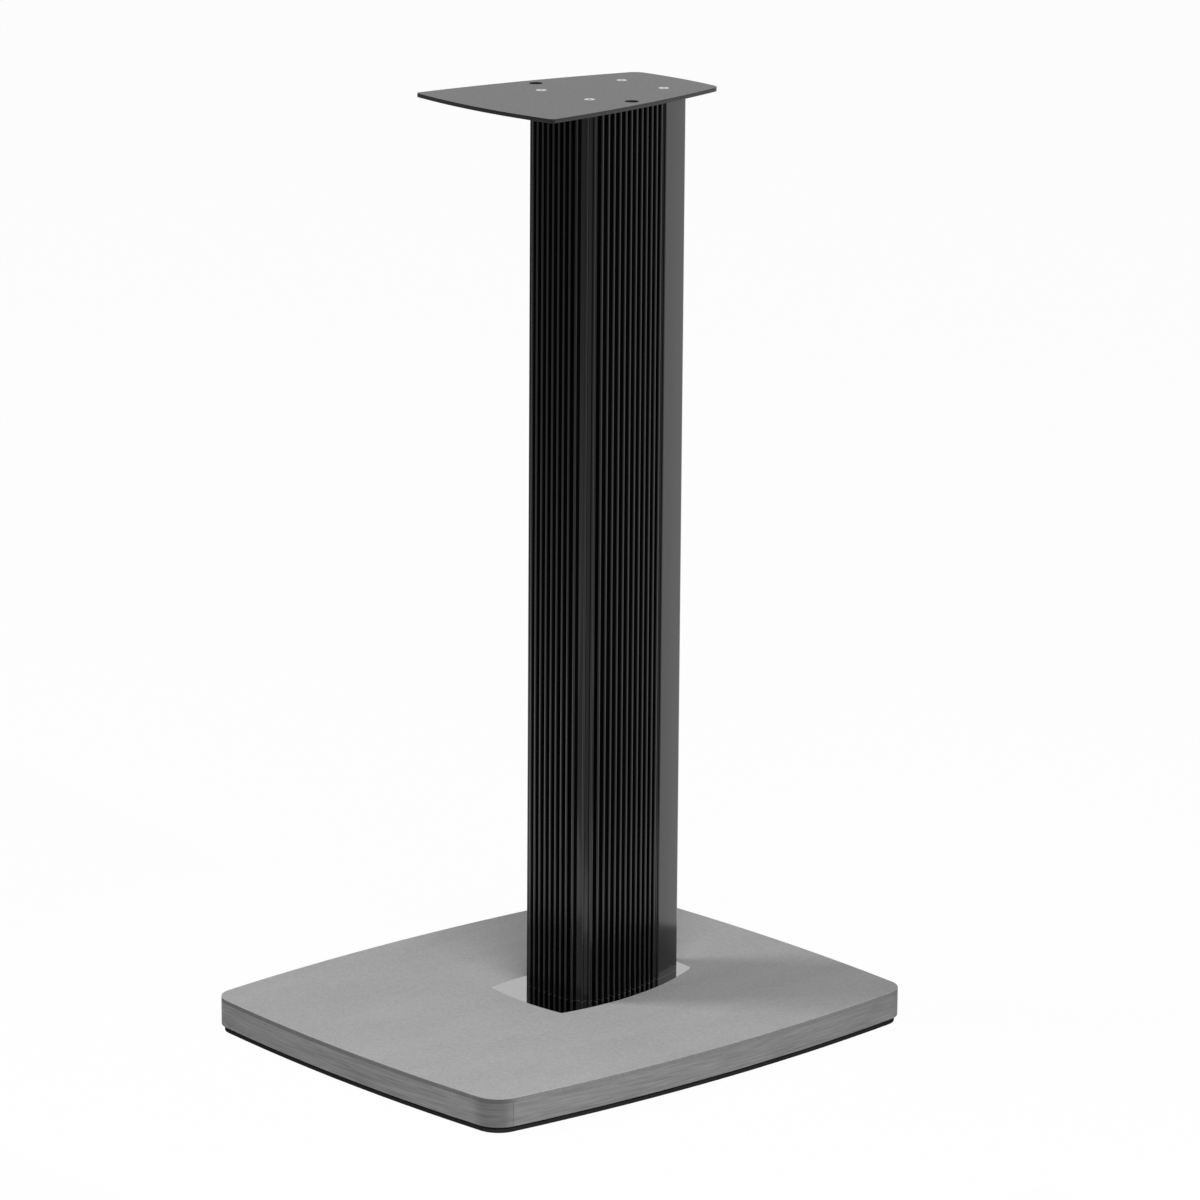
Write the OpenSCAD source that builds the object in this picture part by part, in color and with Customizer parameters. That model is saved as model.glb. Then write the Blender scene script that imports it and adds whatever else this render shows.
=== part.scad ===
// Floor stand for one loudspeaker: a weighted base, a finned column and a top plate.
// The origin is on the floor, under the middle of the base. The front faces -Y and up is +Z.

/* [Base] */
// Width of the base at its widest, left to right
base_w = 360; // [340:1:400]
// Depth of the base at its deepest, front to rear
base_d = 436; // [420:1:460]
// How far the base's left and right sides bow out
base_side_bow = 13.8; // [8:0.2:18]
// How far the base's front and rear bow out
base_end_bow = 8; // [5:0.2:12]
// Radius of the base's corners
base_round = 21; // [14:1:30]
// Thickness of the sheet that makes the base's top
top_sheet_t = 3.5; // [2.5:0.1:4.5]
// Thickness of the board under the sheet
board_t = 18.5; // [16:0.5:22]
// Thickness of the band round the board's edge
edge_band_t = 1.2; // [0.8:0.1:2]
// Opening at the butt joint of the edge band
edge_joint_w = 0.3; // [0.2:0.1:0.6]
// Angle of the butt joint round the front right corner, from the front
edge_joint_angle = 80; // [20:1:80]

/* [Plinth] */
// Thickness of the steel plinth under the board
plinth_t = 5; // [4:0.5:6]
// How far the plinth is set in from the base's edge
plinth_inset = 2.5; // [1:0.5:8]
// Radius of a floor pad
pad_r = 11; // [8:0.5:14]
// Thickness of a floor pad
pad_t = 2; // [1.5:0.1:3]
// How far a floor pad stands out of the plinth
pad_proud = 0.5; // [0.3:0.1:1]
// How far the pads lie in from the base's edge
pad_margin = 34; // [28:1:50]

/* [Foot plate] */
// Thickness of the polished plate let into the base
foot_t = 6; // [5:0.5:8]
// Half width of the foot plate at its front corners
foot_front_half = 41.8; // [41:0.2:46]
// Half width of the foot plate at its rear corners
foot_rear_half = 22.2; // [21:0.2:28]
// How far the foot plate's front corners lie ahead of the column's
foot_lead = 25; // [18:1:34]
// How far the foot plate's rear corners lie behind the column's
foot_trail = 9.5; // [6:0.5:16]
// How far the foot plate's sides bow out
foot_side_bow = 12.4; // [10:0.2:14]
// How far the foot plate's front bows out
foot_front_bow = 3.6; // [2:0.2:6]
// How far the foot plate's rear bows out
foot_rear_bow = 2.5; // [1:0.1:4]
// Radius of the foot plate's corners
foot_round = 2; // [1:0.5:4]

/* [Column] */
// Height of the column
column_h = 697; // [500:1:800]
// Place of the column's front corners ahead of the base's middle
column_lead = 11; // [0:1:30]
// Depth of the column between its front and rear corners
column_d = 117.5; // [112:0.5:125]
// Half width of the column at its front corners
column_front_half = 38.7; // [37:0.1:40]
// Half width of the column at its rear corners
column_rear_half = 17.5; // [16.5:0.1:20]
// How far the column's sides bow out
column_side_bow = 5.9; // [5:0.1:7]
// How far the column's front bows out
column_front_bow = 1.6; // [1:0.1:3]
// How far the column's rear bows out
column_rear_bow = 0.4; // [0.3:0.1:0.6]
// Radius of the column's front corners
column_front_round = 19.5; // [17:0.5:21]
// Radius of the column's rear corners
column_rear_round = 5.5; // [5:0.1:6]
// Wall thickness of the column
wall = 3; // [2.5:0.1:3.5]
// Thickness of the web across the column
web_t = 2.5; // [2:0.1:3.5]

/* [Fins] */
// Height of the fins over the column's wall
fin_h = 4; // [3:0.1:4.5]
// Thickness of a fin, whose tip is round
fin_t = 2.2; // [1.8:0.1:2.6]
// Number of fins on the front
front_fins = 9; // [5:2:9]
// Spacing of the fins on the front
front_fin_pitch = 6.1; // [4.5:0.1:6.3]
// Number of fins on each side
side_fins = 12; // [8:1:12]
// Spacing of the fins along each side
side_fin_pitch = 6.23; // [4.5:0.01:6.3]
// Distance from the front corners back to the first side fin
side_fin_start = 14.4; // [13:0.1:16]

/* [Top plate] */
// Thickness of the top plate
top_t = 3; // [3:0.5:6]
// Half width of the top plate at its front corners
top_front_half = 77.5; // [70:0.1:100]
// Half width of the top plate at its rear corners
top_rear_half = 46.1; // [40:0.1:70]
// Place of the top plate's front corners ahead of the column's
top_lead = 70; // [50:1:90]
// Place of the top plate's rear corners behind the column's
top_trail = 6.7; // [2:0.1:20]
// How far the top plate's front bows out
top_front_bow = 6.6; // [5:0.2:12]
// How far the top plate's rear bows out
top_rear_bow = 3.4; // [2:0.2:5]
// How far the top plate's sides bow out
top_side_bow = 5.6; // [3:0.2:8]
// Radius of the top plate's front corners
top_front_round = 4; // [2:0.5:16]
// Radius of the top plate's rear corners
top_rear_round = 10.5; // [8:0.5:16]
// Distance between the two holes for the speaker's bolts
speaker_hole_spacing = 107.8; // [100:0.2:114]
// Distance from the column's front corners back to the speaker's bolt holes
speaker_hole_back = 28.4; // [20:0.2:40]
// Radius of the holes for the speaker's bolts
speaker_hole_r = 5.35; // [3:0.05:7]

/* [Column screws] */
// Radius of the screws at the column's two ends
screw_r = 2; // [1.5:0.1:2]
// Radius of their countersunk heads
screw_head_r = 4; // [3.5:0.1:4.2]
// Length of the screws through the top plate
top_screw_l = 16; // [12:1:25]
// Length of the screws through the foot plate
foot_screw_l = 20; // [16:1:30]
// Distance between the front screws, left to right
front_port_spacing = 54.4; // [53:0.2:55]
// Distance between the rear screws, left to right
rear_port_spacing = 47.2; // [46:0.2:48]
// Distance from the column's front corners back to the front screws
front_port_back = 10.4; // [10:0.1:12]
// Distance from the front screws back to the rear screws
port_row_spacing = 77.6; // [76:0.1:78]

/* [Base screws] */
// Radius of the bolts that hold the base to the foot plate
bolt_r = 3; // [2.5:0.5:3]
// Radius of the bolts' countersunk heads
bolt_head_r = 6; // [5.5:0.5:6]
// How far the bolts reach into the foot plate
bolt_grip = 4.5; // [3.5:0.5:4.5]
// Distance between the front bolts, left to right
front_bolt_spacing = 56; // [48:1:60]
// Distance between the rear bolts, left to right
rear_bolt_spacing = 32; // [28:1:40]
// Distance from the column's front corners back to the front bolts
front_bolt_back = 36; // [30:1:44]
// Distance from the front bolts back to the rear bolts
bolt_row_spacing = 66; // [60:1:70]
// Radius of the wood screws that hold the plinth
wood_screw_r = 2; // [1.5:0.1:2.5]
// Radius of the wood screws' heads
wood_screw_head_r = 4; // [3.5:0.1:4.5]
// Length of the wood screws
wood_screw_l = 16; // [12:1:18]
// How far the wood screws lie in from the base's edge
wood_screw_margin = 18; // [14:1:24]
// Number of wood screws along each side
wood_screws_side = 4; // [3:1:6]
// Number of wood screws along the front and along the rear
wood_screws_end = 3; // [2:1:5]

/* [Rear cover] */
// Width of the cover that closes the cable duct
cover_w = 23; // [22:0.5:24]
// Thickness of the cover
cover_t = 1.6; // [1.4:0.1:1.8]
// Width of the duct's opening behind the cover
duct_slot_w = 18; // [17:0.5:18.5]
// Thickness of the cover's two legs
leg_t = 1.5; // [1.2:0.1:1.6]
// Reach of the legs into the duct
leg_l = 6; // [5.5:0.1:8]
// How far the hooks on the legs stand out
hook_w = 0.8; // [0.5:0.1:1]
// Thickness of the hooks
hook_t = 1.2; // [1:0.1:1.6]
// Width of a cable outlet in the cover
outlet_w = 10; // [9:0.5:10.5]
// Height of a cable outlet in the cover
outlet_h = 26; // [20:1:40]
// Distance of the outlets' middles from the column's two ends
outlet_end = 48; // [35:1:90]
// Wall of the rubber bush in an outlet
bush_wall = 1.2; // [1:0.1:1.5]
// Width of the bush's two flanges
bush_flange = 1.5; // [1:0.1:1.6]
// Thickness of the bush's two flanges
bush_flange_t = 1.2; // [1:0.1:1.6]

/* [Hidden] */
$fn = 96;
// Sides of the long arcs
arc_sides = 1440;
// Clearance round a piece let into another
fit_gap = 0.15;
// Clearance of a thread in its hole
thread_gap = 0.05;
// Clearance of a bolt in a plain hole
bolt_gap = 0.3;
// Material left round a screw port
port_wall = 1;
// Overrun of a cut past the face it opens
over = 1;
// Angles of the two fins round each front corner, from the front
corner_fin_angles = [43, 60.5];
// Places of the floor pads from front to rear, as shares of the way between the end pads
pad_row_shares = [0, 0.5, 1];
// How far past its own bow an outline's helper point lies, in bows
helper_share = 3;
// Radius of a screw's socket over that of the screw
socket_share = 0.72;
// Depth of a screw's socket over that of its head
socket_depth_share = 0.75;

// Heights of the faces, from the floor up
plinth_z = pad_proud;
board_z = plinth_z + plinth_t;
sheet_z = board_z + board_t;
base_top_z = sheet_z + top_sheet_t;
foot_z = base_top_z - foot_t;
top_z = base_top_z + column_h;

// Places of the column from the base's middle
column_front_y = -column_lead;
column_rear_y = column_front_y + column_d;
column_back_y = column_rear_y + column_rear_bow;
fin_r = fin_t / 2;
screw_head_t = screw_head_r - screw_r;
bolt_head_t = bolt_head_r - bolt_r;
wood_screw_head_t = wood_screw_head_r - wood_screw_r;
port_r = screw_r + thread_gap;
// Hexagon sockets of the screws, the radius to their corners and their depth
screw_socket_r = screw_r * socket_share;
screw_socket_t = screw_head_t * socket_depth_share;
bolt_socket_r = bolt_r * socket_share;
bolt_socket_t = bolt_head_t * socket_depth_share;
wood_screw_socket_r = wood_screw_r * socket_share;
wood_screw_socket_t = wood_screw_head_t * socket_depth_share;

// Outlines, each as [front half width, rear half width, front y, rear y,
// front bow, rear bow, side bow, front round, rear round]
base_half = base_w / 2 - base_side_bow;
base_corner_y = base_d / 2 - base_end_bow;
base_shape = [base_half, base_half, -base_corner_y, base_corner_y,
              base_end_bow, base_end_bow, base_side_bow, base_round, base_round];
foot_shape = [foot_front_half, foot_rear_half, column_front_y - foot_lead, column_rear_y + foot_trail,
              foot_front_bow, foot_rear_bow, foot_side_bow, foot_round, foot_round];
top_shape = [top_front_half, top_rear_half, column_front_y - top_lead, column_rear_y + top_trail,
             top_front_bow, top_rear_bow, top_side_bow, top_front_round, top_rear_round];
column_shape = [column_front_half, column_rear_half, column_front_y, column_rear_y,
                column_front_bow, column_rear_bow, column_side_bow, column_front_round, column_rear_round];
// The same outline with big rear corners, so that it can be set in by more than their radius
column_core_shape = [column_front_half, column_rear_half, column_front_y, column_rear_y,
                     column_front_bow, column_rear_bow, column_side_bow,
                     column_front_round, column_front_round / 2];

// Geometry of an outline. Its corners and sides run front left, front right, rear right, rear left,
// and side i starts at corner i.
function corners(s) = [[-s[0], s[2]], [s[0], s[2]], [s[1], s[3]], [-s[1], s[3]]];
function side_bows(s) = [s[4], s[6], s[5], s[6]];
function corner_rounds(s) = [s[7], s[7], s[8], s[8]];
function after(i) = (i + 1) % 4;
function before(i) = (i + 3) % 4;
function outward(p, q) = [q.y - p.y, p.x - q.x] / norm(q - p);
function bow_r(p, q, bow) = (pow(norm(q - p) / 2, 2) + bow * bow) / (2 * bow);
function side_r(s, i) = bow_r(corners(s)[i], corners(s)[after(i)], side_bows(s)[i]);
function side_middle(s, i) = (corners(s)[i] + corners(s)[after(i)]) / 2;
function side_outward(s, i) = outward(corners(s)[i], corners(s)[after(i)]);
function side_centre(s, i) = side_middle(s, i) - side_outward(s, i) * (side_r(s, i) - side_bows(s)[i]);
function helper(s, i) = side_middle(s, i) + side_outward(s, i) * side_bows(s)[i] * helper_share;
// The crossing of two circles that is nearer to a point
function crossing(a, ra, b, rb, near) =
    let (d = norm(b - a),
         u = (b - a) / d,
         v = [-u.y, u.x],
         along = (ra * ra - rb * rb + d * d) / (2 * d),
         across = sqrt(ra * ra - along * along),
         one = a + along * u + across * v,
         two = a + along * u - across * v)
    norm(one - near) < norm(two - near) ? one : two;
function round_centre(s, i) =
    crossing(side_centre(s, before(i)), side_r(s, before(i)) - corner_rounds(s)[i],
             side_centre(s, i), side_r(s, i) - corner_rounds(s)[i], corners(s)[i]);
// Where the round of corner i touches side j, on the outline set in by inset
function touch(s, i, j, inset) =
    let (way = round_centre(s, i) - side_centre(s, j))
    side_centre(s, j) + way / norm(way) * (side_r(s, j) - inset);
function guard_points(s, inset) =
    [for (i = [0:3]) each [touch(s, i, before(i), inset), touch(s, i, i, inset), helper(s, i)]];

// A four-sided outline with bowed sides and round corners, set in by inset
module outline(s, inset = 0) {
    intersection() {
        polygon(guard_points(s, inset));
        intersection_for (i = [0:3])
            translate(side_centre(s, i))
                circle(r = side_r(s, i) - inset, $fn = arc_sides);
    }
    for (i = [0:3])
        translate(round_centre(s, i))
            circle(r = corner_rounds(s)[i] - inset);
}

// A slab of an outline from height z
module slab(s, z, h, inset = 0) {
    translate([0, 0, z])
        linear_extrude(height = h)
            outline(s, inset);
}

// Places of the fasteners, as [x, y] points
front_port_y = column_front_y + front_port_back;
port_places = [for (side = [-1, 1]) each
    [[side * front_port_spacing / 2, front_port_y],
     [side * rear_port_spacing / 2, front_port_y + port_row_spacing]]];
front_bolt_y = column_front_y + front_bolt_back;
bolt_places = [for (side = [-1, 1]) each
    [[side * front_bolt_spacing / 2, front_bolt_y],
     [side * rear_bolt_spacing / 2, front_bolt_y + bolt_row_spacing]]];
speaker_hole_y = column_front_y + speaker_hole_back;
speaker_hole_places = [for (side = [-1, 1]) [side * speaker_hole_spacing / 2, speaker_hole_y]];
pad_half_w = base_half - pad_margin;
pad_half_d = base_corner_y - pad_margin;
pad_places = [for (side = [-1, 1]) for (share = pad_row_shares)
    [side * pad_half_w, -pad_half_d + 2 * pad_half_d * share]];
wood_screw_half_w = base_half - wood_screw_margin;
wood_screw_half_d = base_corner_y - wood_screw_margin;
// The side rows stop one step short of the corners, which the end rows reach
side_row_step = 2 * wood_screw_half_d / (wood_screws_side + 1);
end_row_step = 2 * wood_screw_half_w / (wood_screws_end + 1);
wood_screw_places = concat(
    [for (side = [-1, 1]) for (i = [1:wood_screws_side])
        [side * wood_screw_half_w, -wood_screw_half_d + i * side_row_step]],
    [for (end = [-1, 1]) for (i = [1:wood_screws_end])
        [-wood_screw_half_w + i * end_row_step, end * wood_screw_half_d]]);

// A countersunk screw with its head's flat face at height z, pointing up (way 1) or down (way -1)
module countersunk_screw(place, z, way, r, head_r, head_t, l, socket_r, socket_t) {
    translate([place.x, place.y, z])
        mirror([0, 0, way > 0 ? 0 : 1])
            difference() {
                union() {
                    cylinder(h = head_t, r1 = head_r, r2 = r);
                    cylinder(h = l, r = r);
                }
                translate([0, 0, -over])
                    cylinder(h = socket_t + over, r = socket_r, $fn = 6);
            }
}

// The hole for such a screw through a plate of thickness t
module countersunk_hole(place, z, way, r, head_r, head_t, t) {
    translate([place.x, place.y, z])
        mirror([0, 0, way > 0 ? 0 : 1]) {
            cylinder(h = head_t, r1 = head_r, r2 = head_r - head_t);
            translate([0, 0, -over])
                cylinder(h = t + 2 * over, r = r);
        }
}

module top_plate() {
    color([0.2, 0.2, 0.21])
        difference() {
            slab(top_shape, top_z, top_t);
            for (p = port_places)
                countersunk_hole(p, top_z + top_t, -1, port_r, screw_head_r, screw_head_t, top_t);
            for (p = speaker_hole_places)
                translate([p.x, p.y, top_z - over])
                    cylinder(h = top_t + 2 * over, r = speaker_hole_r);
        }
}

module top_plate_screws() {
    color("silver")
        for (p = port_places)
            countersunk_screw(p, top_z + top_t, -1, screw_r, screw_head_r, screw_head_t, top_screw_l,
                              screw_socket_r, screw_socket_t);
}

// A fin that points away from a centre, its tip touching the given radius
module fin(centre, r, angle) {
    translate(centre)
        rotate(angle) {
            translate([r - fin_r, 0])
                circle(r = fin_r);
            translate([r - fin_h - wall / 2, -fin_r])
                square([fin_h + wall / 2 - fin_r, fin_t]);
        }
}

// Height of the front outline at x, set in by the radius of a fin's tip
function front_tip_y(x) =
    let (c = side_centre(column_shape, 0),
         r = side_r(column_shape, 0) - fin_r,
         k = round_centre(column_shape, 1),
         kr = column_front_round - fin_r)
    abs(x) < k.x ? c.y - sqrt(r * r - x * x) : k.y - sqrt(kr * kr - pow(abs(x) - k.x, 2));

module front_fin(x) {
    translate([x, front_tip_y(x)]) {
        circle(r = fin_r);
        translate([-fin_r, 0])
            square([fin_t, fin_h + wall / 2]);
    }
}

side_c = side_centre(column_shape, 1);
side_arc_r = side_r(column_shape, 1);
side_fin_angle = asin((column_front_y + side_fin_start - side_c.y) / side_arc_r);
side_fin_step = side_fin_pitch / side_arc_r * 180 / PI;
// The smooth rear starts at the fin after the last
panel_angle = side_fin_angle + side_fins * side_fin_step;
panel_y = side_c.y + side_arc_r * sin(panel_angle);

module right_side_fins() {
    for (i = [0:side_fins])
        fin(side_c, side_arc_r, side_fin_angle + i * side_fin_step);
    for (a = corner_fin_angles)
        fin(round_centre(column_shape, 1), column_front_round, a - 90);
}

// Half planes in front of and behind a height y, wide enough for the column
reach = column_front_half * 2;
module ahead_of(y) {
    translate([-reach, column_front_y - reach])
        square([2 * reach, y - column_front_y + reach]);
}
module behind(y) {
    translate([-reach, y])
        square([2 * reach, column_rear_y - y + reach]);
}

rear_port_y = front_port_y + port_row_spacing;
// The wall between the chambers and the cable duct starts behind the rear ports
divider_y = rear_port_y + port_r + port_wall - wall / 2;
duct_y = divider_y + wall;
// The web crosses halfway along the chambers
web_y = (column_front_y + divider_y) / 2;

module column_body() {
    intersection() {
        outline(column_core_shape, fin_h);
        ahead_of(panel_y);
    }
    intersection() {
        outline(column_shape);
        behind(panel_y);
    }
    for (i = [0:front_fins - 1])
        front_fin((i - (front_fins - 1) / 2) * front_fin_pitch);
    right_side_fins();
    mirror([1, 0])
        right_side_fins();
}

module column_chambers() {
    difference() {
        intersection() {
            outline(column_core_shape, fin_h + wall);
            ahead_of(divider_y);
        }
        translate([-reach, web_y - web_t / 2])
            square([2 * reach, web_t]);
    }
    intersection() {
        outline(column_shape, wall);
        behind(duct_y);
    }
}

module duct_opening() {
    translate([-duct_slot_w / 2, column_rear_y - 2 * wall])
        square([duct_slot_w, 3 * wall]);
    difference() {
        translate([-cover_w / 2, column_rear_y - 2 * wall])
            square([cover_w, 3 * wall]);
        outline(column_shape, cover_t);
    }
}

module column_section() {
    difference() {
        column_body();
        difference() {
            column_chambers();
            for (p = port_places)
                translate(p)
                    circle(r = port_r + port_wall);
        }
        duct_opening();
    }
    for (p = port_places)
        translate(p)
            circle(r = port_r + port_wall);
}

module column() {
    color([0.1, 0.1, 0.11])
        difference() {
            translate([0, 0, base_top_z])
                linear_extrude(height = column_h)
                    column_section();
            for (p = port_places)
                translate([p.x, p.y, base_top_z - over])
                    cylinder(h = column_h + 2 * over, r = port_r);
        }
}

// The cover's plate, two legs and their hooks
leg_x = duct_slot_w / 2 - fit_gap - leg_t;
module cover_section() {
    difference() {
        intersection() {
            outline(column_shape);
            translate([fit_gap - cover_w / 2, column_rear_y - cover_t * 2])
                square([cover_w - 2 * fit_gap, cover_t * 2 + over]);
        }
        outline(column_shape, cover_t);
    }
    for (side = [0, 1])
        mirror([side, 0]) {
            translate([leg_x, column_back_y - cover_t / 2 - leg_l])
                square([leg_t, leg_l]);
            translate([leg_x, column_back_y - wall - fit_gap - column_rear_bow - hook_t])
                square([leg_t + fit_gap + hook_w, hook_t]);
        }
}

outlet_heights = [base_top_z + outlet_end, top_z - outlet_end];

// An upright slot with round ends, pushed rearwards from y by depth t
module oblong(w, h, y, z, t) {
    translate([0, y + t, z])
        rotate([90, 0, 0])
            linear_extrude(height = t) {
                square([w, h - w], center = true);
                for (end = [-1, 1])
                    translate([0, end * (h - w) / 2])
                        circle(r = w / 2);
            }
}

module rear_cover() {
    color([0.12, 0.12, 0.13])
        difference() {
            translate([0, 0, base_top_z])
                linear_extrude(height = column_h)
                    cover_section();
            for (z = outlet_heights)
                oblong(outlet_w, outlet_h, column_back_y - cover_t - over, z, cover_t + 2 * over);
        }
}

// A bush has a sleeve through the cover and a flange on each side of it
module cable_bushes() {
    sleeve_w = outlet_w - 2 * fit_gap;
    sleeve_h = outlet_h - 2 * fit_gap;
    flange_y = column_back_y - cover_t - fit_gap - bush_flange_t;
    bush_t = cover_t + fit_gap + 2 * bush_flange_t;
    color([0.06, 0.06, 0.06])
        for (z = outlet_heights)
            difference() {
                union() {
                    oblong(sleeve_w, sleeve_h, flange_y, z, bush_t);
                    for (y = [flange_y, column_back_y])
                        oblong(outlet_w + 2 * bush_flange, outlet_h + 2 * bush_flange, y, z, bush_flange_t);
                }
                oblong(sleeve_w - 2 * bush_wall, sleeve_h - 2 * bush_wall, flange_y - over, z,
                       bush_t + 2 * over);
            }
}

module foot_plate() {
    color([0.85, 0.85, 0.86])
        difference() {
            slab(foot_shape, foot_z, foot_t);
            for (p = port_places)
                countersunk_hole(p, foot_z, 1, port_r, screw_head_r, screw_head_t, foot_t);
            for (p = bolt_places)
                translate([p.x, p.y, foot_z - over])
                    cylinder(h = bolt_grip + thread_gap + over, r = bolt_r + thread_gap);
        }
}

module column_foot_screws() {
    color("silver")
        for (p = port_places)
            countersunk_screw(p, foot_z, 1, screw_r, screw_head_r, screw_head_t, foot_screw_l,
                              screw_socket_r, screw_socket_t);
}

module base_top_sheet() {
    color([0.62, 0.62, 0.62])
        difference() {
            slab(base_shape, sheet_z, top_sheet_t);
            translate([0, 0, sheet_z - over])
                linear_extrude(height = top_sheet_t + 2 * over)
                    outline(foot_shape, -fit_gap);
        }
}

module base_board() {
    color([0.55, 0.47, 0.38])
        difference() {
            slab(base_shape, board_z, board_t, edge_band_t);
            translate([0, 0, foot_z])
                linear_extrude(height = foot_t)
                    outline(foot_shape, -fit_gap);
            for (p = bolt_places)
                translate([p.x, p.y, board_z - over])
                    cylinder(h = board_t + over, r = bolt_r + bolt_gap);
            for (p = wood_screw_places)
                translate([p.x, p.y, board_z - over])
                    cylinder(h = wood_screw_l - plinth_t + thread_gap + over, r = wood_screw_r + thread_gap);
        }
}

module edge_band() {
    corner = round_centre(base_shape, 1);
    color([0.5, 0.5, 0.5])
        difference() {
            slab(base_shape, board_z, board_t);
            slab(base_shape, board_z - over, board_t + 2 * over, edge_band_t);
            translate([corner.x, corner.y, board_z - over])
                rotate(edge_joint_angle - 90)
                    translate([0, -edge_joint_w / 2, 0])
                        cube([base_round + over, edge_joint_w, board_t + 2 * over]);
        }
}

module foot_plate_bolts() {
    color("dimgray")
        for (p = bolt_places)
            countersunk_screw(p, plinth_z, 1, bolt_r, bolt_head_r, bolt_head_t,
                              foot_z + bolt_grip - plinth_z, bolt_socket_r, bolt_socket_t);
}

module plinth() {
    color([0.14, 0.14, 0.14])
        difference() {
            slab(base_shape, plinth_z, plinth_t, plinth_inset);
            for (p = bolt_places)
                countersunk_hole(p, plinth_z, 1, bolt_r + bolt_gap, bolt_head_r, bolt_head_t, plinth_t);
            for (p = wood_screw_places)
                countersunk_hole(p, plinth_z, 1, wood_screw_r + thread_gap, wood_screw_head_r,
                                 wood_screw_head_t, plinth_t);
            for (p = pad_places)
                translate([p.x, p.y, plinth_z - over])
                    cylinder(h = pad_t - pad_proud + over, r = pad_r + fit_gap);
        }
}

module plinth_screws() {
    color("dimgray")
        for (p = wood_screw_places)
            countersunk_screw(p, plinth_z, 1, wood_screw_r, wood_screw_head_r, wood_screw_head_t,
                              wood_screw_l, wood_screw_socket_r, wood_screw_socket_t);
}

module floor_pads() {
    color([0.08, 0.08, 0.08])
        for (p = pad_places)
            translate([p.x, p.y, 0])
                cylinder(h = pad_t, r = pad_r);
}

top_plate();
top_plate_screws();
column();
rear_cover();
cable_bushes();
foot_plate();
column_foot_screws();
base_top_sheet();
base_board();
edge_band();
foot_plate_bolts();
plinth();
plinth_screws();
floor_pads();
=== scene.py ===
import math

import bmesh
import bpy
from mathutils import Matrix, Vector


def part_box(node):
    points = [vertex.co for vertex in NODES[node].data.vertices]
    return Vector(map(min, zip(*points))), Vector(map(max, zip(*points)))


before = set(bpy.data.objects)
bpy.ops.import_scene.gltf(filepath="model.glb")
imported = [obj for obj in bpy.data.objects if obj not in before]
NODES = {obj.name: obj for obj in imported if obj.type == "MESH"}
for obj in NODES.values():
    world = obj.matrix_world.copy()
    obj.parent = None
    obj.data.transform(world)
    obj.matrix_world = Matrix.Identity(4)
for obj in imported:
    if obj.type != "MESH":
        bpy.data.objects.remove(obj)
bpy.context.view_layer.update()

MM = 0.001

# Heights of the base's top and of the plinth's two faces, and how far forward and right the base comes
BASE_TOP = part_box("base_top_sheet")[1].z
BASE_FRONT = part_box("base_top_sheet")[0].y
BASE_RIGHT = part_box("base_top_sheet")[1].x
PLINTH_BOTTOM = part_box("plinth")[0].z
PLINTH_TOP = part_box("plinth")[1].z

# The camera, whose place is measured from the floor under the middle of the base
CAMERA_PLACE = Vector((3.2944, -2.9076, 1.4514))
CAMERA_TURN = math.radians(48.202)
CAMERA_DOWN = math.radians(14.201)
CAMERA_ROLL = math.radians(-0.412)
CAMERA_NEAR = 0.1
CAMERA_FAR = 100
IMAGE_SIDE = 1200
FOCAL_PIXELS = 5959.441
SENSOR_WIDTH = 36


def place_camera():
    cos_turn, sin_turn = math.cos(CAMERA_TURN), math.sin(CAMERA_TURN)
    cos_down, sin_down = math.cos(CAMERA_DOWN), math.sin(CAMERA_DOWN)
    forward = Vector((-sin_turn * cos_down, cos_turn * cos_down, -sin_down))
    level_right = Vector((cos_turn, sin_turn, 0))
    level_down = forward.cross(level_right)
    cos_roll, sin_roll = math.cos(CAMERA_ROLL), math.sin(CAMERA_ROLL)
    right = cos_roll * level_right + sin_roll * level_down
    down = -sin_roll * level_right + cos_roll * level_down
    data = bpy.data.cameras.new("camera")
    data.sensor_width = SENSOR_WIDTH
    data.lens = FOCAL_PIXELS / IMAGE_SIDE * SENSOR_WIDTH
    data.clip_start = CAMERA_NEAR
    data.clip_end = CAMERA_FAR
    camera = bpy.data.objects.new("camera", data)
    bpy.context.scene.collection.objects.link(camera)
    turned = Matrix((right, -down, -forward)).transposed().to_4x4()
    camera.matrix_world = Matrix.Translation(CAMERA_PLACE) @ turned
    bpy.context.scene.camera = camera


place_camera()


# Helpers of the materials
def grey(level):
    return (level, level, level, 1)


def new_material(name, colour, roughness, metallic=0.0, ior=1.5):
    """A material with its even values set on the shader, whose nodes are added by the caller."""
    material = bpy.data.materials.new(name)
    material.use_nodes = True
    tree = material.node_tree
    shader = tree.nodes["Principled BSDF"]
    shader.inputs["Base Color"].default_value = grey(colour)
    shader.inputs["Roughness"].default_value = roughness
    shader.inputs["Metallic"].default_value = metallic
    shader.inputs["IOR"].default_value = ior
    return material, tree, shader


def object_place(tree, scale=(1, 1, 1)):
    """Object coordinates, stretched by scale."""
    source = tree.nodes.new("ShaderNodeTexCoord")
    mapping = tree.nodes.new("ShaderNodeMapping")
    mapping.inputs["Scale"].default_value = scale
    tree.links.new(source.outputs["Object"], mapping.inputs["Vector"])
    return mapping.outputs["Vector"]


def coordinate(tree, name):
    """One object coordinate, in metres."""
    source = tree.nodes.new("ShaderNodeTexCoord")
    split = tree.nodes.new("ShaderNodeSeparateXYZ")
    tree.links.new(source.outputs["Object"], split.inputs["Vector"])
    return split.outputs[name]


def noise(tree, place, scale, detail=3.0, roughness=0.5):
    texture = tree.nodes.new("ShaderNodeTexNoise")
    texture.inputs["Scale"].default_value = scale
    texture.inputs["Detail"].default_value = detail
    texture.inputs["Roughness"].default_value = roughness
    tree.links.new(place, texture.inputs["Vector"])
    return texture.outputs["Fac"]


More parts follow.
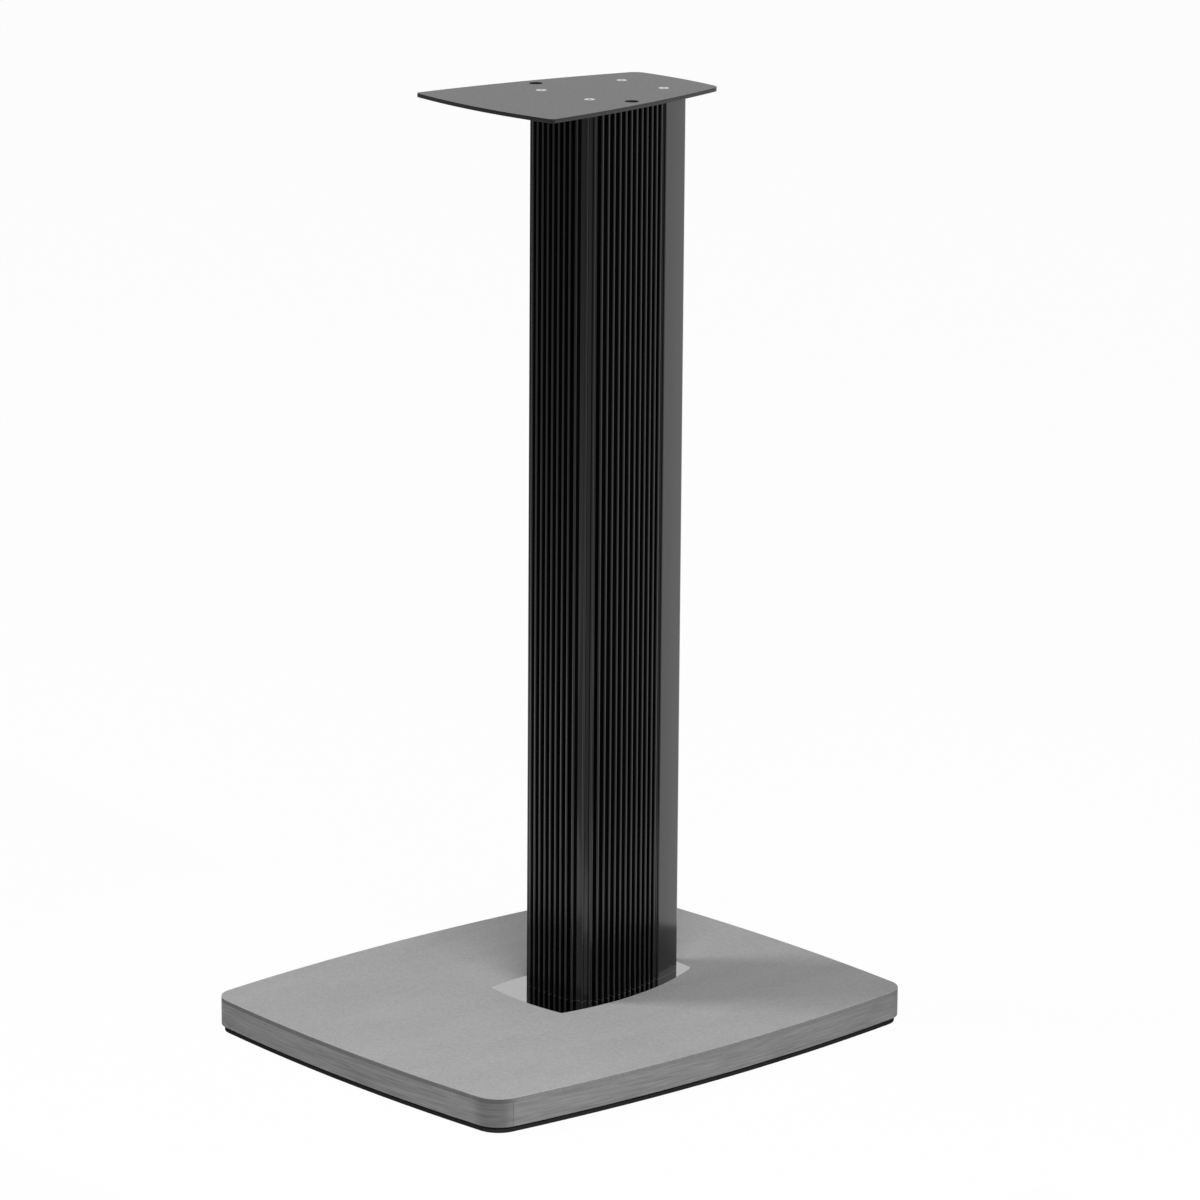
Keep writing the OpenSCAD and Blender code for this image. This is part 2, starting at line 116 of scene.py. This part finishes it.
def span(tree, value, low, high, to_low=0.0, to_high=1.0, smooth=False):
    """Maps value from low..high to to_low..to_high, clamped."""
    ranged = tree.nodes.new("ShaderNodeMapRange")
    ranged.interpolation_type = "SMOOTHSTEP" if smooth else "LINEAR"
    ranged.inputs["From Min"].default_value = low
    ranged.inputs["From Max"].default_value = high
    ranged.inputs["To Min"].default_value = to_low
    ranged.inputs["To Max"].default_value = to_high
    tree.links.new(value, ranged.inputs["Value"])
    return ranged.outputs["Result"]


def combine(tree, operation, one, two):
    """A Math node of two sockets, or of a socket and a number."""
    made = tree.nodes.new("ShaderNodeMath")
    made.operation = operation
    tree.links.new(one, made.inputs[0])
    if isinstance(two, (int, float)):
        made.inputs[1].default_value = two
    else:
        tree.links.new(two, made.inputs[1])
    return made.outputs["Value"]


def set_brightness(tree, shader, value):
    """Links a brightness to the shader's colour."""
    joined = tree.nodes.new("ShaderNodeCombineColor")
    for channel in ("Red", "Green", "Blue"):
        tree.links.new(value, joined.inputs[channel])
    tree.links.new(joined.outputs["Color"], shader.inputs["Base Color"])


def set_roughness(tree, shader, value):
    tree.links.new(value, shader.inputs["Roughness"])


def set_relief(tree, shader, height, strength, distance):
    made = tree.nodes.new("ShaderNodeBump")
    made.inputs["Strength"].default_value = strength
    made.inputs["Distance"].default_value = distance
    tree.links.new(height, made.inputs["Height"])
    tree.links.new(made.outputs["Normal"], shader.inputs["Normal"])


# The finishes. First the sawn foot of the column and its cover, and what the plinth gains at its lower edge
# below the painted shade up under the board
BARE_METAL_BRIGHTNESS = 0.2
PLINTH_UNSHADED_BRIGHTNESS = 0.016
# The top sheet, its side's share of that, and the painted shade that the share loses along the front and
# round the front right corner
SHEET_BRIGHTNESS = 0.378
SHEET_SIDE_SHARE = 0.42
SHEET_FRONT_SHADE = 0.12
SHEET_CORNER_SHADE = 0.1
# The edge band, and its brightness round the front right corner over that of the rest, lowered there as
# painted shade
BAND_BRIGHTNESS = 0.16
BAND_CORNER_SHADE_SHARE = 0.6


def black_powder_coat():
    """Satin black with a fine orange peel."""
    material, tree, shader = new_material("black_powder_coat", 0.006, 0.34)
    place = object_place(tree)
    peel = noise(tree, place, 900, 2)
    set_brightness(tree, shader, span(tree, noise(tree, place, 60), 0.3, 0.7, 0.004, 0.008))
    set_roughness(tree, shader, span(tree, peel, 0.2, 0.8, 0.28, 0.4))
    set_relief(tree, shader, peel, 0.25, 0.04 * MM)
    return material


def black_anodised():
    """Satin black with drawing lines along the extrusion, and bare metal at its sawn foot."""
    material, tree, shader = new_material("black_anodised", 0.0015, 0.15, ior=1.6)
    lines = noise(tree, object_place(tree, (1, 1, 0.004)), 1500, 2)
    bare = span(tree, coordinate(tree, "Z"), BASE_TOP + 0.1 * MM, BASE_TOP + 0.25 * MM, 1, 0)
    drawn = span(tree, lines, 0.3, 0.7, 0.001, 0.002)
    sawn = combine(tree, "MULTIPLY", bare, BARE_METAL_BRIGHTNESS)
    set_brightness(tree, shader, combine(tree, "ADD", drawn, sawn))
    tree.links.new(bare, shader.inputs["Metallic"])
    set_roughness(tree, shader, span(tree, lines, 0.25, 0.75, 0.11, 0.19))
    set_relief(tree, shader, lines, 0.08, 0.02 * MM)
    return material


def polished_steel():
    """A mirror finish with faint polishing lines and clouds."""
    material, tree, shader = new_material("polished_steel", 0.41, 0.08, metallic=1.0)
    lines = noise(tree, object_place(tree, (0.02, 1, 1)), 1800, 2)
    cloud = noise(tree, object_place(tree), 25)
    set_brightness(tree, shader, span(tree, cloud, 0.3, 0.7, 0.395, 0.425))
    set_roughness(tree, shader, span(tree, lines, 0.25, 0.75, 0.06, 0.11))
    return material


def screw_metal(name, colour, roughness):
    """Bright metal, a little uneven in brightness and in polish."""
    material, tree, shader = new_material(name, colour, roughness, metallic=1.0)
    place = object_place(tree)
    cloud, grain = noise(tree, place, 400), noise(tree, place, 1200)
    set_brightness(tree, shader, span(tree, cloud, 0.3, 0.7, colour * 0.85, colour * 1.1))
    set_roughness(tree, shader, span(tree, grain, 0.3, 0.7, roughness * 0.7, roughness * 1.3))
    return material


def black_rubber():
    """Matt black with a fine grain."""
    material, tree, shader = new_material("black_rubber", 0.02, 0.7)
    place = object_place(tree)
    set_brightness(tree, shader, span(tree, noise(tree, place, 90), 0.3, 0.7, 0.014, 0.026))
    set_roughness(tree, shader, span(tree, noise(tree, place, 500), 0.3, 0.7, 0.6, 0.8))
    set_relief(tree, shader, noise(tree, place, 1500), 0.3, 0.05 * MM)
    return material


def dark_steel():
    """Matt black paint with painted shade: black up under the board and a little greyer towards its lower
    edge.
    """
    material, tree, shader = new_material("dark_steel", 0.008, 0.8, ior=1.05)
    place = object_place(tree)
    middle = (PLINTH_BOTTOM + PLINTH_TOP) / 2
    # Painted shade: the plinth's upper half stays black, as if shaded under the board's overhang
    lower = span(tree, coordinate(tree, "Z"), middle, middle + 1.2 * MM, PLINTH_UNSHADED_BRIGHTNESS, 0)
    cloud = span(tree, noise(tree, place, 60), 0.3, 0.7, 0.001, 0.003)
    set_brightness(tree, shader, combine(tree, "ADD", cloud, lower))
    set_roughness(tree, shader, span(tree, noise(tree, place, 700), 0.3, 0.7, 0.7, 0.9))
    set_relief(tree, shader, noise(tree, place, 900), 0.2, 0.04 * MM)
    return material


def front_right_corner_shade(tree):
    """1 round the base's front right corner and 0 along its sides, where shade is painted."""
    right = span(tree, coordinate(tree, "X"), BASE_RIGHT - 40 * MM, BASE_RIGHT - 24 * MM, smooth=True)
    ahead = span(tree, coordinate(tree, "Y"), BASE_FRONT + 15 * MM, BASE_FRONT + 28 * MM, 1, 0,
                 smooth=True)
    return combine(tree, "MULTIPLY", right, ahead)


def grey_top_sheet():
    """A fine mottle over the top and a darker side, with painted shade making the side darkest along the
    front and round the front right corner.
    """
    material, tree, shader = new_material("grey_top_sheet", SHEET_BRIGHTNESS, 0.75, ior=1.25)
    fine = noise(tree, object_place(tree), 450, 4, 0.65)
    cloud = noise(tree, object_place(tree, (1, 0.4, 1)), 30, 4)
    mottle = combine(tree, "ADD", span(tree, fine, 0.25, 0.75, -0.06, 0.06),
                     span(tree, cloud, 0.25, 0.75, -0.02, 0.02))
    edge = span(tree, coordinate(tree, "Z"), BASE_TOP - 0.35 * MM, BASE_TOP - 0.05 * MM,
                SHEET_SIDE_SHARE, 1)
    # Painted shade darkens the sheet's side along the front
    front = span(tree, coordinate(tree, "Y"), BASE_FRONT + 15 * MM, BASE_FRONT + 35 * MM,
                 -SHEET_FRONT_SHADE, 0, smooth=True)
    # Painted shade darkens the sheet's side round the front right corner
    corner = combine(tree, "MULTIPLY", front_right_corner_shade(tree), -SHEET_CORNER_SHADE)
    on_side = combine(tree, "LESS_THAN", edge, 1)
    drop = combine(tree, "MULTIPLY", on_side, combine(tree, "ADD", front, corner))
    share = combine(tree, "ADD", edge, drop)
    top = combine(tree, "ADD", mottle, SHEET_BRIGHTNESS)
    set_brightness(tree, shader, combine(tree, "MULTIPLY", top, share))
    set_roughness(tree, shader, span(tree, fine, 0.3, 0.7, 0.68, 0.82))
    set_relief(tree, shader, fine, 0.25, 0.05 * MM)
    return material


def grey_edge_band():
    """Grain runs along the edge, in fine broken streaks, and painted shade darkens the band round the front
    right corner at the butt joint.
    """
    material, tree, shader = new_material("grey_edge_band", BAND_BRIGHTNESS, 0.6, ior=1.3)
    streaks = noise(tree, object_place(tree, (0.025, 0.025, 1)), 1200, 5, 0.7)
    broad = noise(tree, object_place(tree, (0.12, 0.12, 1)), 160, 3)
    figure = combine(tree, "ADD", span(tree, streaks, 0.25, 0.75, -0.07, 0.07),
                     span(tree, broad, 0.25, 0.75, -0.02, 0.02))
    # Painted shade darkens the band round the front right corner
    share = span(tree, front_right_corner_shade(tree), 0, 1, 1, BAND_CORNER_SHADE_SHARE)
    grain = combine(tree, "ADD", figure, BAND_BRIGHTNESS)
    set_brightness(tree, shader, combine(tree, "MULTIPLY", grain, share))
    set_roughness(tree, shader, span(tree, streaks, 0.3, 0.7, 0.52, 0.68))
    set_relief(tree, shader, streaks, 0.3, 0.06 * MM)
    return material


def raw_board():
    """Brown fibres."""
    material, tree, shader = new_material("board", 0.3, 0.8)
    fibre = noise(tree, object_place(tree, (1, 1, 3)), 700, 4, 0.65)
    ramp = tree.nodes.new("ShaderNodeValToRGB")
    dark, light = ramp.color_ramp.elements
    dark.position, dark.color = 0.3, (0.26, 0.2, 0.14, 1)
    light.position, light.color = 0.7, (0.44, 0.35, 0.26, 1)
    tree.links.new(fibre, ramp.inputs["Fac"])
    tree.links.new(ramp.outputs["Color"], shader.inputs["Base Color"])
    set_roughness(tree, shader, span(tree, noise(tree, object_place(tree), 90), 0.3, 0.7, 0.7, 0.9))
    set_relief(tree, shader, fibre, 0.3, 0.1 * MM)
    return material


FINISHED_NODES = [
    (black_powder_coat(), ["top_plate"]),
    (black_anodised(), ["column", "rear_cover"]),
    (polished_steel(), ["foot_plate"]),
    (screw_metal("stainless_screws", 0.75, 0.25), ["top_plate_screws"]),
    (screw_metal("zinc_screws", 0.5, 0.35), ["column_foot_screws", "foot_plate_bolts", "plinth_screws"]),
    (black_rubber(), ["cable_bushes", "floor_pads"]),
    (dark_steel(), ["plinth"]),
    (grey_top_sheet(), ["base_top_sheet"]),
    (grey_edge_band(), ["edge_band"]),
    (raw_board(), ["base_board"]),
]
for material, names in FINISHED_NODES:
    for name in names:
        slots = NODES[name].data.materials
        if len(slots) == 0:
            slots.append(material)
        for i in range(len(slots)):
            slots[i] = material

# Widths of the broken edges, in millimetres
EDGE_BREAKS = {"top_plate": 0.2, "base_top_sheet": 0.3, "foot_plate": 0.15, "plinth": 0.2, "floor_pads": 0.4}
EDGE_BREAK_SEGMENTS = 2
EDGE_BREAK_ANGLE = math.radians(50)
WELD_DISTANCE = 0.001 * MM
for name, width in EDGE_BREAKS.items():
    weld = NODES[name].modifiers.new("weld", "WELD")
    weld.merge_threshold = WELD_DISTANCE
    edge_break = NODES[name].modifiers.new("edge_break", "BEVEL")
    edge_break.width = width * MM
    edge_break.segments = EDGE_BREAK_SEGMENTS
    edge_break.limit_method = "ANGLE"
    edge_break.angle_limit = EDGE_BREAK_ANGLE


# The studio, in metres
FLOOR_RADIUS = 12
FLOOR_SEGMENTS = 64
FLOOR_COLOUR = 0.85
FLOOR_WHITE_SHARE = 0.97
# Colour of the cloth and the mat where light falls on them
STAGE_BLACK = 0.02
# The cloth round the set's left, front and right, whose brightness falls with the square of the distance
CLOTH_INNER_RADIUS = 0.5
CLOTH_BRIGHT_RADIUS = 0.9
CLOTH_OUTER_RADIUS = 9
CLOTH_HEIGHT = 0.002
CLOTH_FIRST_ANGLE = math.radians(172)
CLOTH_LAST_ANGLE = math.radians(362)
CLOTH_SEGMENTS = 48
CLOTH_NEAR_SHARE = 1.15
CLOTH_FAR_SHARE = 0.2
# The dark mat, which runs from the set out past the camera
MAT_START = 0.45
MAT_END = 6
MAT_WIDTH = 1.3
MAT_HEIGHT = 0.004
MAT_SHARE = 0.4
# The sky's strength as light, and the shares of white that mirrors see in front of the set and behind it,
# which change over between two values of the direction's Y
SKY_STRENGTH = 0.19
SKY_FRONT_SHARE = 0.4
SKY_REAR_SHARE = 0.88
SKY_TURN_START = -0.2
SKY_TURN_END = 0.1
# The softboxes, each with its place, width, height and watts, turned to one place above the base
SOFTBOXES = {
    "left_key": ((-1.45, -1.6, 2.35), 0.7, 1.6, 40),
    "right_softbox": ((2.3, -1.18, 1.4), 2.6, 1.5, 98),
}
SOFTBOX_TARGET = (0, 0, 0.1)


def seen_directly(tree):
    """1 for the camera's rays and for rays from mirrors and glass."""
    path = tree.nodes.new("ShaderNodeLightPath")
    seen = combine(tree, "MAXIMUM", path.outputs["Is Camera Ray"], path.outputs["Is Glossy Ray"])
    return combine(tree, "MAXIMUM", seen, path.outputs["Is Transmission Ray"])


def mix_shaders(tree, share, one, two, output):
    """One shader where share is 0 and the other where it is 1, into an output node."""
    mix = tree.nodes.new("ShaderNodeMixShader")
    tree.links.new(share, mix.inputs["Fac"])
    tree.links.new(one, mix.inputs[1])
    tree.links.new(two, mix.inputs[2])
    tree.links.new(mix.outputs["Shader"], tree.nodes[output].inputs["Surface"])


def add_stage(name, form, material):
    """A piece of the studio, which isn't part of the object."""
    mesh = bpy.data.meshes.new(name)
    form.to_mesh(mesh)
    form.free()
    mesh.materials.append(material)
    made = bpy.data.objects.new(name, mesh)
    bpy.context.scene.collection.objects.link(made)
    return made


def add_floor():
    """White to the camera, but for the object's shadow."""
    form = bmesh.new()
    bmesh.ops.create_circle(form, cap_ends=True, segments=FLOOR_SEGMENTS, radius=FLOOR_RADIUS)
    material, tree, shader = new_material("floor", FLOOR_COLOUR, 1)
    glow = tree.nodes.new("ShaderNodeEmission")
    share = combine(tree, "MULTIPLY", seen_directly(tree), FLOOR_WHITE_SHARE)
    mix_shaders(tree, share, shader.outputs["BSDF"], glow.outputs["Emission"], "Material Output")
    add_stage("floor", form, material)


def new_glow(name):
    """A black material that glows to mirrors, and the socket of its strength."""
    material, tree, shader = new_material(name, STAGE_BLACK, 1, ior=1)
    glow = tree.nodes.new("ShaderNodeEmission")
    mix_shaders(tree, seen_directly(tree), shader.outputs["BSDF"], glow.outputs["Emission"],
                "Material Output")
    return material, tree, glow.inputs["Strength"]


def add_mirrored_stage(name, form, material):
    """A stage piece that shows only in what the object mirrors, and casts no shadow."""
    made = add_stage(name, form, material)
    made.visible_camera = False
    made.visible_shadow = False


def add_dark_cloth():
    """Part of a ring on the floor, which the fronts of the fins mirror."""
    form = bmesh.new()
    inner = form.verts.new((CLOTH_INNER_RADIUS, 0, CLOTH_HEIGHT))
    outer = form.verts.new((CLOTH_OUTER_RADIUS, 0, CLOTH_HEIGHT))
    edge = form.edges.new((inner, outer))
    bmesh.ops.rotate(form, verts=[inner, outer], matrix=Matrix.Rotation(CLOTH_FIRST_ANGLE, 3, "Z"))
    bmesh.ops.spin(form, geom=[inner, outer, edge], axis=(0, 0, 1), cent=(0, 0, 0),
                   angle=CLOTH_LAST_ANGLE - CLOTH_FIRST_ANGLE, steps=CLOTH_SEGMENTS)
    material, tree, strength = new_glow("dark_cloth")
    source = tree.nodes.new("ShaderNodeTexCoord")
    distance = tree.nodes.new("ShaderNodeVectorMath")
    distance.operation = "LENGTH"
    tree.links.new(source.outputs["Object"], distance.inputs[0])
    radii = combine(tree, "DIVIDE", distance.outputs["Value"], CLOTH_BRIGHT_RADIUS)
    nearness = combine(tree, "POWER", radii, -2)
    tree.links.new(span(tree, nearness, 0, 1, CLOTH_FAR_SHARE, CLOTH_FAR_SHARE + CLOTH_NEAR_SHARE), strength)
    add_mirrored_stage("dark_cloth", form, material)


def add_camera_mat():
    """An oblong towards the camera, which the column's front corner mirrors."""
    form = bmesh.new()
    bmesh.ops.create_grid(form, x_segments=1, y_segments=1, size=0.5)
    bmesh.ops.scale(form, verts=form.verts, vec=(MAT_END - MAT_START, MAT_WIDTH, 1))
    bmesh.ops.translate(form, verts=form.verts, vec=((MAT_START + MAT_END) / 2, 0, MAT_HEIGHT))
    turn = Matrix.Rotation(CAMERA_TURN - math.radians(90), 3, "Z")
    bmesh.ops.rotate(form, verts=form.verts, matrix=turn)
    material, _, strength = new_glow("camera_mat")
    strength.default_value = MAT_SHARE
    add_mirrored_stage("camera_mat", form, material)


def set_sky():
    """White to the camera, darker in front of the set to mirrors, and soft as light."""
    world = bpy.data.worlds.new("studio")
    bpy.context.scene.world = world
    world.use_nodes = True
    tree = world.node_tree
    lit = tree.nodes["Background"]
    lit.inputs["Color"].default_value = grey(1)
    lit.inputs["Strength"].default_value = SKY_STRENGTH
    seen = tree.nodes.new("ShaderNodeBackground")
    seen.inputs["Color"].default_value = grey(1)
    path = tree.nodes.new("ShaderNodeLightPath")
    direction = tree.nodes.new("ShaderNodeTexCoord")
    split = tree.nodes.new("ShaderNodeSeparateXYZ")
    tree.links.new(direction.outputs["Generated"], split.inputs["Vector"])
    mirrored = span(tree, split.outputs["Y"], SKY_TURN_START, SKY_TURN_END, SKY_FRONT_SHARE,
                    SKY_REAR_SHARE, smooth=True)
    straight = combine(tree, "MAXIMUM", path.outputs["Is Camera Ray"], path.outputs["Is Transmission Ray"])
    tree.links.new(combine(tree, "MAXIMUM", mirrored, straight), seen.inputs["Strength"])
    mix_shaders(tree, seen_directly(tree), lit.outputs["Background"], seen.outputs["Background"],
                "World Output")


def add_softbox(name, place, width, height, watts):
    """A soft oblong lamp that neither the camera nor a mirror sees."""
    data = bpy.data.lights.new(name, "AREA")
    data.shape = "RECTANGLE"
    data.size = width
    data.size_y = height
    data.energy = watts
    made = bpy.data.objects.new(name, data)
    bpy.context.scene.collection.objects.link(made)
    made.visible_camera = False
    made.visible_glossy = False
    made.location = place
    way = Vector(SOFTBOX_TARGET) - Vector(place)
    made.rotation_euler = way.to_track_quat("-Z", "Y").to_euler()


add_floor()
add_dark_cloth()
add_camera_mat()
set_sky()
for name, (place, width, height, watts) in SOFTBOXES.items():
    add_softbox(name, place, width, height, watts)
bpy.context.scene.view_settings.view_transform = "Standard"
